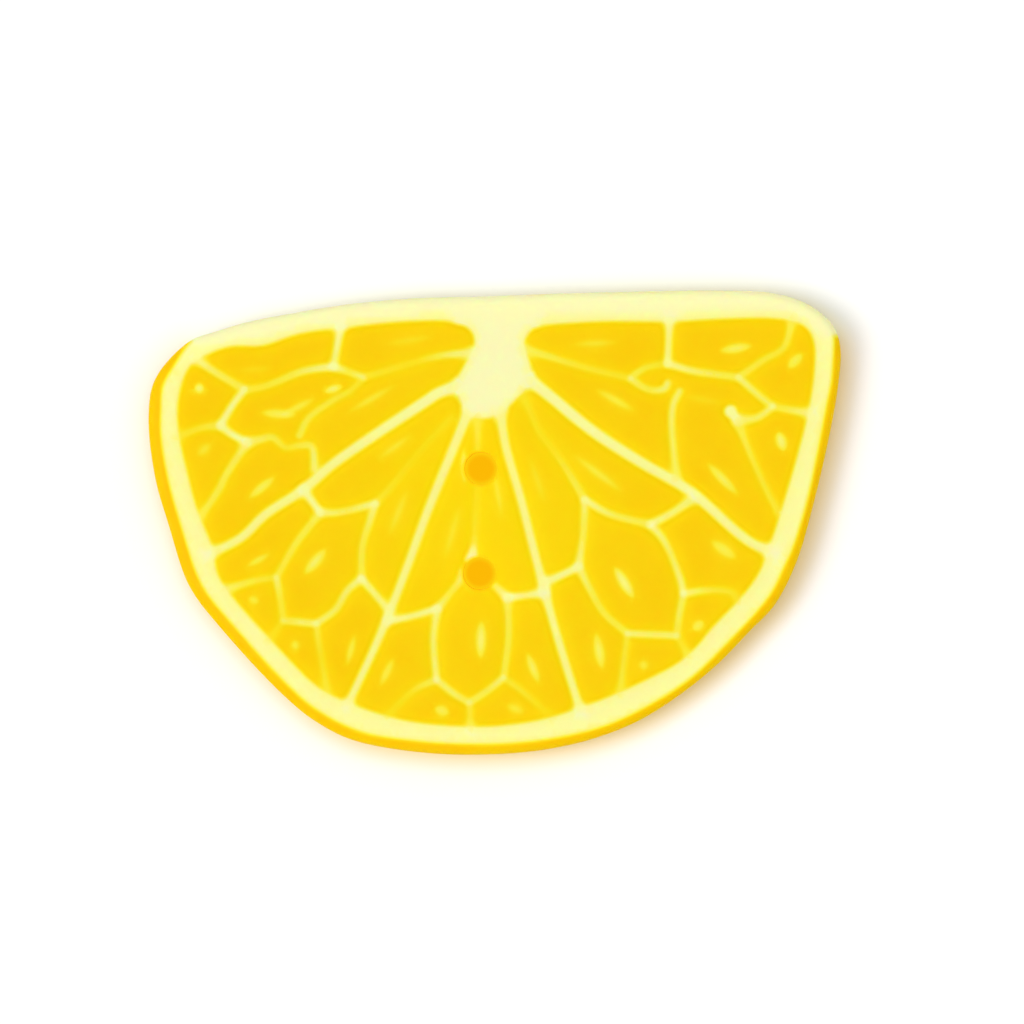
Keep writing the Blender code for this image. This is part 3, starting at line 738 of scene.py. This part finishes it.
def baked_polymer_clay():
    """Baked polymer clay in three colours, sliced and sanded: dense and waxy, with a satin
    skin, a faint grain of filler and colours that are mottled where the clay was kneaded."""
    material = bpy.data.materials.new("baked_polymer_clay")
    material.use_nodes = True
    material.cycles.emission_sampling = "NONE"    # its painted glow is too weak to count as a lamp
    tree = material.node_tree
    shader = tree.nodes["Principled BSDF"]
    place_in_mm = add_node(
        tree, "ShaderNodeVectorMath",
        {0: add_node(tree, "ShaderNodeTexCoord").outputs["Object"], "Scale": 1 / MM},
        operation="SCALE",
    ).outputs["Vector"]

    # Kneading leaves soft clouds about 2 mm across, and specks of filler about 0.15 mm
    clouds = add_node(
        tree, "ShaderNodeTexNoise",
        {"Vector": place_in_mm, "Scale": 1 / 2.0, "Detail": 3.0, "Roughness": 0.6},
    ).outputs[0]
    specks = add_node(
        tree, "ShaderNodeTexNoise",
        {"Vector": place_in_mm, "Scale": 1 / 0.15, "Detail": 2.0, "Roughness": 0.5},
    ).outputs[0]

    # The pulp and the pith, and the warm yellow between them where they bleed
    paleness = add_node(
        tree, "ShaderNodeAttribute", attribute_name="paleness"
    ).outputs["Fac"]
    blend = add_node(tree, "ShaderNodeValToRGB", {"Fac": paleness})
    stops = (
        (0.00, "#F9DE03"), (0.18, "#FAE21E"), (0.45, "#FAE84C"), (0.93, "#F7F3A4"),
        (1.00, "#F6F3BA"),
    )
    ramp = blend.color_ramp
    while len(ramp.elements) < len(stops):
        ramp.elements.new(1.0)
    for element, (position, colour) in zip(ramp.elements, stops):
        element.position = position
        element.color = linear(colour)

    # The pulp's gold, stronger in its clouds, with none in the pith
    gold = add_node(tree, "ShaderNodeAttribute", attribute_name="gold").outputs["Fac"]
    cloudy = add_node(
        tree, "ShaderNodeMapRange",
        {"Value": clouds, "From Min": 0.3, "From Max": 0.7, "To Min": 0.75, "To Max": 1.0},
    ).outputs["Result"]
    cloudy_gold = add_node(
        tree, "ShaderNodeMath", {0: gold, 1: cloudy}, operation="MULTIPLY"
    ).outputs[0]
    off_pith = add_node(
        tree, "ShaderNodeMapRange",
        {"Value": paleness, "From Min": 0.0, "From Max": 0.35, "To Min": 1.0, "To Max": 0.0},
    ).outputs["Result"]
    gold_share = add_node(
        tree, "ShaderNodeMath", {0: cloudy_gold, 1: off_pith}, operation="MULTIPLY"
    ).outputs[0]
    pulp_and_pith = add_node(
        tree, "ShaderNodeMix",
        {FACTOR: gold_share, FIRST: blend.outputs["Color"], SECOND: linear("#F9CC02")},
        data_type="RGBA",
    ).outputs[MIXED]

    # The rind, a little redder where the cloud is dense, and yellow where it meets the pith; the
    # same orange is painted on the rims of the holes as their light
    rind_clay = add_node(
        tree, "ShaderNodeMix",
        {FACTOR: clouds, FIRST: linear("#F8CC06"), SECOND: linear("#F6BE04")},
        data_type="RGBA",
    ).outputs[MIXED]
    rind = add_node(tree, "ShaderNodeAttribute", attribute_name="rind_and_painted_rim_light").outputs["Fac"]
    rind_and_painted_rim_light = add_node(
        tree, "ShaderNodeMath", {0: rind, 1: off_pith}, operation="MULTIPLY"
    ).outputs[0]
    clay = add_node(
        tree, "ShaderNodeMix",
        {FACTOR: rind_and_painted_rim_light, FIRST: pulp_and_pith, SECOND: rind_clay},
        data_type="RGBA",
    ).outputs[MIXED]
    tree.links.new(clay, shader.inputs["Base Color"])

    # Satin from sanding with 600 grit: duller in patches, and duller on the specks
    sheen = add_node(
        tree, "ShaderNodeMapRange",
        {"Value": clouds, "From Min": 0.3, "From Max": 0.7, "To Min": 0.42, "To Max": 0.55},
    ).outputs["Result"]
    roughness = add_node(
        tree, "ShaderNodeMath", {0: specks, 1: 0.1, 2: sheen}, operation="MULTIPLY_ADD"
    ).outputs[0]
    tree.links.new(roughness, shader.inputs["Roughness"])

    # Grain of the filler, on a skin that is wavy from handling
    grain = add_node(
        tree, "ShaderNodeBump",
        {"Height": specks, "Strength": 0.25, "Distance": 0.02 * MM},
    ).outputs["Normal"]
    handled = add_node(
        tree, "ShaderNodeTexNoise",
        {"Vector": place_in_mm, "Scale": 1 / 1.2, "Detail": 1.0},
    ).outputs[0]
    skin = add_node(
        tree, "ShaderNodeBump",
        {"Height": handled, "Strength": 0.4, "Distance": 0.05 * MM, "Normal": grain},
    ).outputs["Normal"]
    tree.links.new(skin, shader.inputs["Normal"])

    # Painted light: the walls and rims of the holes glow orange, as if lit from the card below
    painted_glow = add_node(tree, "ShaderNodeAttribute", attribute_name="painted_glow").outputs["Fac"]
    painted_glow_strength = add_node(
        tree, "ShaderNodeMath", {0: painted_glow, 1: PAINTED_RIM_LIGHT_STRENGTH}, operation="MULTIPLY"
    ).outputs[0]
    tree.links.new(painted_glow_strength, shader.inputs["Emission Strength"])
    shader.inputs["Emission Color"].default_value = linear("#FDBD06")

    shader.inputs["IOR"].default_value = 1.5
    shader.inputs["Specular IOR Level"].default_value = 0.04
    shader.inputs["Subsurface Weight"].default_value = 1.0
    shader.inputs["Subsurface Radius"].default_value = (1.0, 0.6, 0.15)
    shader.inputs["Subsurface Scale"].default_value = 1.0 * MM
    return material


def matt_card():
    """Matt white card, lit a little from behind: a ground that stays white, as photographed.
    It is painted yellow where light that has come through the clay would fall on it: painted
    light."""
    material = bpy.data.materials.new("matt_white_card")
    material.use_nodes = True
    material.cycles.emission_sampling = "NONE"    # its glow is too weak to count as a lamp
    tree = material.node_tree
    shader = tree.nodes["Principled BSDF"]
    painted_warm_light = add_node(tree, "ShaderNodeAttribute", attribute_name="painted_warm_light").outputs["Fac"]
    card = add_node(
        tree, "ShaderNodeMix",
        {FACTOR: painted_warm_light, FIRST: linear("#FCFCFC"), SECOND: linear("#F8E8AC")},
        data_type="RGBA",
    ).outputs[MIXED]
    tree.links.new(card, shader.inputs["Base Color"])
    shader.inputs["Roughness"].default_value = 0.9
    shader.inputs["Specular IOR Level"].default_value = 0.1
    shader.inputs["Emission Color"].default_value = linear("#FFFFFF")
    shader.inputs["Emission Strength"].default_value = 0.02
    tooth = add_node(tree, "ShaderNodeTexNoise", {"Scale": 1 / (0.3 * MM), "Detail": 2.0})
    bump = add_node(
        tree, "ShaderNodeBump",
        {"Height": tooth.outputs[0], "Strength": 0.1, "Distance": 0.02 * MM},
    )
    tree.links.new(bump.outputs["Normal"], shader.inputs["Normal"])
    return material


def card_with_painted_hole_light():
    """Card that glows with painted orange light, though it is no lamp, standing in for the light
    that the translucent clay lets through, as seen through the holes.
    """
    material = bpy.data.materials.new("card_with_painted_orange_light")
    material.use_nodes = True
    tree = material.node_tree
    shader = tree.nodes["Principled BSDF"]
    shader.inputs["Base Color"].default_value = linear("#3A1600")
    shader.inputs["Roughness"].default_value = 0.9
    shader.inputs["Specular IOR Level"].default_value = 0.0
    shader.inputs["Emission Strength"].default_value = 0.95

    # The painted light is yellower beside the wall, where it stands for light that has come
    # through less clay
    from_middle = add_node(
        tree, "ShaderNodeVectorMath",
        {0: add_node(tree, "ShaderNodeTexCoord").outputs["Object"]}, operation="LENGTH",
    ).outputs["Value"]
    start, end = PATCH_SHADE
    beside_wall = add_node(
        tree, "ShaderNodeMapRange",
        {"Value": from_middle, "From Min": start * MM, "From Max": end * MM},
        interpolation_type="SMOOTHSTEP",
    ).outputs["Result"]
    light = add_node(
        tree, "ShaderNodeMix",
        {FACTOR: beside_wall, FIRST: linear("#FDBD06"), SECOND: linear("#FDD812")},
        data_type="RGBA",
    ).outputs[MIXED]
    tree.links.new(light, shader.inputs["Emission Color"])
    return material


# ---------------------------------------------------------------------------------------
# The scene

def add_button():
    """The clay button, in place of its plain CAD solid."""
    mesh = make_button()
    corners = np.array([vertex.co.xy for vertex in mesh.vertices]) / MM
    rind = 1.0 - fall(depth_in_loop(corners, RIND_LOOP), -BLEED, BLEED)
    painted_rim_light = painted_rim_light_at(corners)
    # The rims of the holes are painted deeper orange and less pale: painted light from the holes
    paleness = paleness_at(corners) * (1.0 - rind) * (1.0 - PAINTED_RIM_TINT * painted_rim_light)
    add_value(mesh, "rind_and_painted_rim_light", np.maximum(rind, painted_rim_light))
    add_value(mesh, "paleness", paleness)
    add_value(mesh, "gold", gold_at(corners))
    add_value(mesh, "painted_glow", painted_rim_light)
    mesh.materials.append(baked_polymer_clay())
    mesh.shade_smooth()
    button = bpy.data.objects.new("clay_orange_slice", mesh)
    bpy.context.scene.collection.objects.link(button)
    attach(button, "root")
    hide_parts(NODE)


def add_floor():
    """A wide sheet of white card for the button to lie on.  Round the button it has painted
    yellow light, as if come through the clay from the upper left, and under the holes it glows
    with painted orange light."""
    card = matt_card()
    bpy.ops.mesh.primitive_plane_add(
        size=FLOOR_SIDE * MM, location=(0.0, 0.0, -FLOOR_DROP * MM)
    )
    floor = bpy.context.object
    floor.name = "floor"
    floor.data.materials.append(card)
    length, depth = CARD_SIDES
    bpy.ops.mesh.primitive_grid_add(
        x_subdivisions=round(length / CARD_SQUARE), y_subdivisions=round(depth / CARD_SQUARE),
        size=1.0, location=(0.0, 0.0, -CARD_DROP * MM),
    )
    beside = bpy.context.object
    beside.name = "card_beside_the_button"
    beside.data.transform(Matrix.Diagonal((length * MM, depth * MM, 1.0, 1.0)))
    beside.data.materials.append(card)
    spots = np.array([vertex.co.xy for vertex in beside.data.vertices]) / MM
    # Painted light: the card round the button is tinted yellow, the tint shifted right and down
    off_button = -depth_in_loop(spots - PAINTED_LIGHT_SHIFT, OUTLINE)
    add_value(beside.data, "painted_warm_light", fall(off_button, -PAINTED_LIGHT_REACH, PAINTED_LIGHT_REACH))
    painted_glow = card_with_painted_hole_light()
    # Patches under the holes glow with painted orange light, though they are no lamp
    for number, hole in enumerate(HOLES * MM, start=1):
        bpy.ops.mesh.primitive_circle_add(
            vertices=HOLE_SIDES, radius=PATCH_RADIUS * MM, fill_type="NGON",
            location=(*hole, -PATCH_DROP * MM),
        )
        patch = bpy.context.object
        patch.name = f"painted_light_under_hole_{number}"
        patch.data.materials.append(painted_glow)


def add_light():
    """A bright light tent with a wide soft box overhead, and a large lamp high on the left."""
    world = bpy.data.worlds.new("light_tent")
    world.use_nodes = True
    world.node_tree.nodes["Background"].inputs["Color"].default_value = (1.0, 1.0, 1.0, 1.0)
    world.node_tree.nodes["Background"].inputs["Strength"].default_value = 0.45
    bpy.context.scene.world = world
    add_lamp("soft_box_overhead", energy=1.08, degrees_wide=60, towards=(0.0, 0.0, 1.0))
    add_lamp("large_lamp", energy=1.02, degrees_wide=24, towards=(-0.46, -0.08, 0.88))


def add_lamp(name, energy, degrees_wide, towards):
    """A far lamp that looks so many degrees wide, in the direction given."""
    data = bpy.data.lights.new(name, "SUN")
    data.energy = energy
    data.angle = math.radians(degrees_wide)
    lamp = bpy.data.objects.new(name, data)
    lamp.rotation_euler = Vector(towards).to_track_quat("Z", "Y").to_euler()
    bpy.context.scene.collection.objects.link(lamp)


def add_camera():
    """A camera straight above, so far up that the photograph's frame fits its view where
    the button is widest.  The drawing counts pixels from 0, at the middle of the first."""
    height = 0.5    # metres above the widest part of the button
    data = bpy.data.cameras.new("camera")
    data.sensor_width = 36.0
    data.lens = data.sensor_width * height / (PHOTO_SIDE * PIXEL * MM)
    camera = bpy.data.objects.new("camera", data)
    x, y = place([(PHOTO_SIDE - 1) / 2] * 2) * MM
    camera.location = (x, y, (THICKNESS - EDGE_ROUND) * MM + height)
    bpy.context.scene.collection.objects.link(camera)
    bpy.context.scene.camera = camera


add_camera()
add_button()
add_floor()
add_light()
bpy.context.scene.view_settings.view_transform = "Standard"
